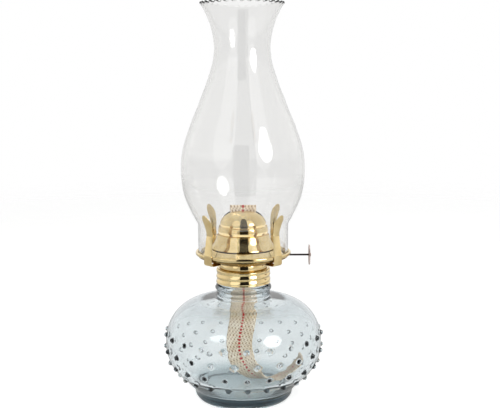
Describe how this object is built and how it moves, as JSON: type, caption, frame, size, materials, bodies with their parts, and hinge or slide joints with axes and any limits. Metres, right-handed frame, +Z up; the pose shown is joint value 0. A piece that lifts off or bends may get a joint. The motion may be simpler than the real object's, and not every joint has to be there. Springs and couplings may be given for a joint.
{
  "type": "flat wick oil lamp",
  "caption": "Glass table oil lamp with a screw-on brass flat-wick burner, a knob that raises the wick, and a lift-off flared glass chimney.",
  "frame": {"origin": "centre of the ring foot's resting face, on the lamp's axis", "axes": "+Z up the lamp's axis, +X towards the wick knob, -Y towards the front face of the wick"},
  "size_m": [0.1386, 0.138, 0.3343],
  "materials": {
    "font_glass": "gloss",
    "chimney_glass": "gloss",
    "brass": "polished",
    "cork": "matte",
    "steel_wire": "satin",
    "knob_metal": "satin",
    "cotton": "woven"
  },
  "bodies": {
    "font": {"reservoir": "font_glass"},
    "seal": {"neck_gasket": "cork"},
    "burner": {"collar": "brass", "burner_cup": "brass", "cup_floor": "brass", "vent_tube": "brass", "wick_tube": "brass", "air_screen": "brass", "gallery": "brass", "burner_dome": "brass", "prong_ring": "brass", "sprocket_bracket": "brass", "shaft_sleeve": "brass", "wick_tail": "cotton"},
    "raiser": {"raiser_shaft": "steel_wire", "sprocket_left": "brass", "sprocket_right": "brass", "thumbwheel": "knob_metal", "thumbwheel_rivet": "steel_wire"},
    "wick": {"wick": "cotton"},
    "chimney": {"chimney": "chimney_glass"}
  },
  "joints": [
    {"name": "burner_rise", "type": "slide", "parent": "font", "child": "seal", "axis": [0, 0, 1], "range_m": [0, 0.0058]},
    {"name": "burner_turn", "type": "hinge", "parent": "seal", "child": "burner", "pos_m": [0, 0, 0.105], "axis": [0, 0, 1], "range_deg": [0, 540]},
    {"name": "chimney_lift", "type": "slide", "parent": "burner", "child": "chimney", "axis": [0, 0, 1], "range_m": [0, 0.06]},
    {"name": "raiser_turn", "type": "hinge", "parent": "burner", "child": "raiser", "pos_m": [0, 0.0056, 0.1223], "axis": [-1, 0, 0], "range_deg": [-95, 72]},
    {"name": "wick_feed", "type": "slide", "parent": "burner", "child": "wick", "axis": [0, 0, 1], "range_m": [-0.0076, 0.0057], "deforming": ["wick_tail"]}
  ],
  "couplings": [
    {"joint": "burner_rise", "follows": "burner_turn", "m_per_rad": 0.00060479},
    {"joint": "raiser_turn", "follows": "wick_feed", "rad_per_m": 217.39}
  ]
}
